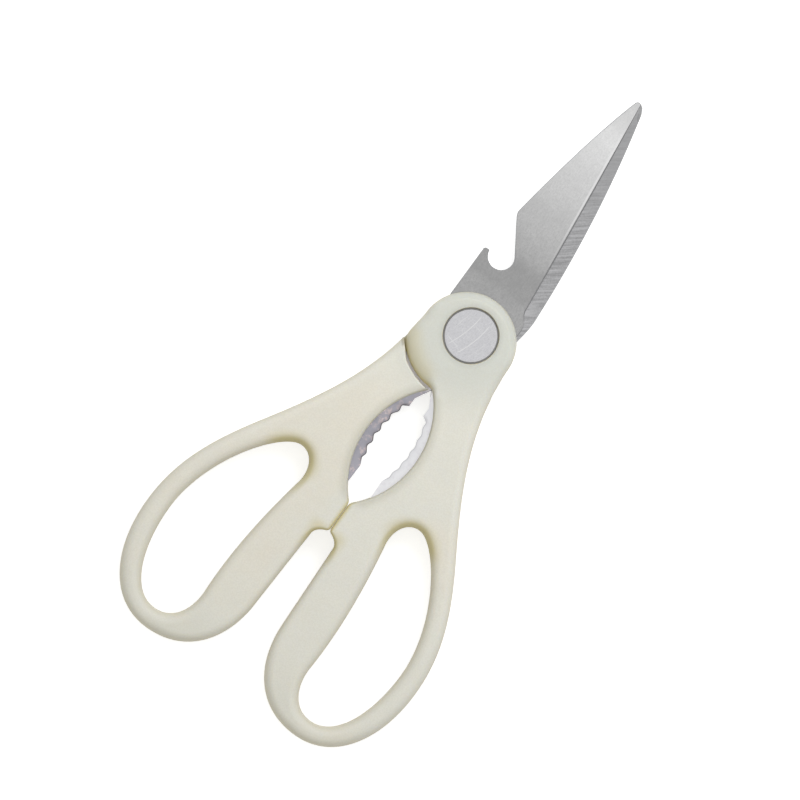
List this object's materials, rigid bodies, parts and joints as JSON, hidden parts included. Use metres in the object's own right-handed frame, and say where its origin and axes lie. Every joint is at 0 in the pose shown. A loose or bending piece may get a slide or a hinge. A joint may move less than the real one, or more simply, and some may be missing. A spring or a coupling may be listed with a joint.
{
  "type": "kitchen shears",
  "caption": "Kitchen shears with moulded ivory loop handles, a bottle-opener notch in the blade spine and a toothed nut jaw between the handles, opening on one rivet.",
  "frame": {"origin": "on the pivot axis, at the back face that the closed shears lie on", "axes": "+Z along the pivot axis out of the front face, +Y from the pivot to the blade tips, +X to the right seen from the front"},
  "size_m": [0.0972, 0.2094, 0.0109],
  "materials": {
    "blade_steel": "satin ground stainless steel with cross-ground bevels",
    "ivory_plastic": "moulded polypropylene with a soft satin skin",
    "rivet_steel": "brushed flat with fine scratches",
    "nylon": "natural nylon"
  },
  "bodies": {
    "front_half": {"front_blade": "blade_steel", "front_handle": "ivory_plastic", "pivot_rivet": "rivet_steel", "rivet_set_washer": "rivet_steel", "blade_washer": "nylon"},
    "back_half": {"back_blade": "blade_steel", "back_handle": "ivory_plastic"}
  },
  "joints": [
    {"name": "pivot", "type": "hinge", "parent": "front_half", "child": "back_half", "pos_m": [0, 0, 0.0053], "axis": [0, 0, -1], "range_deg": [0, 80]}
  ]
}
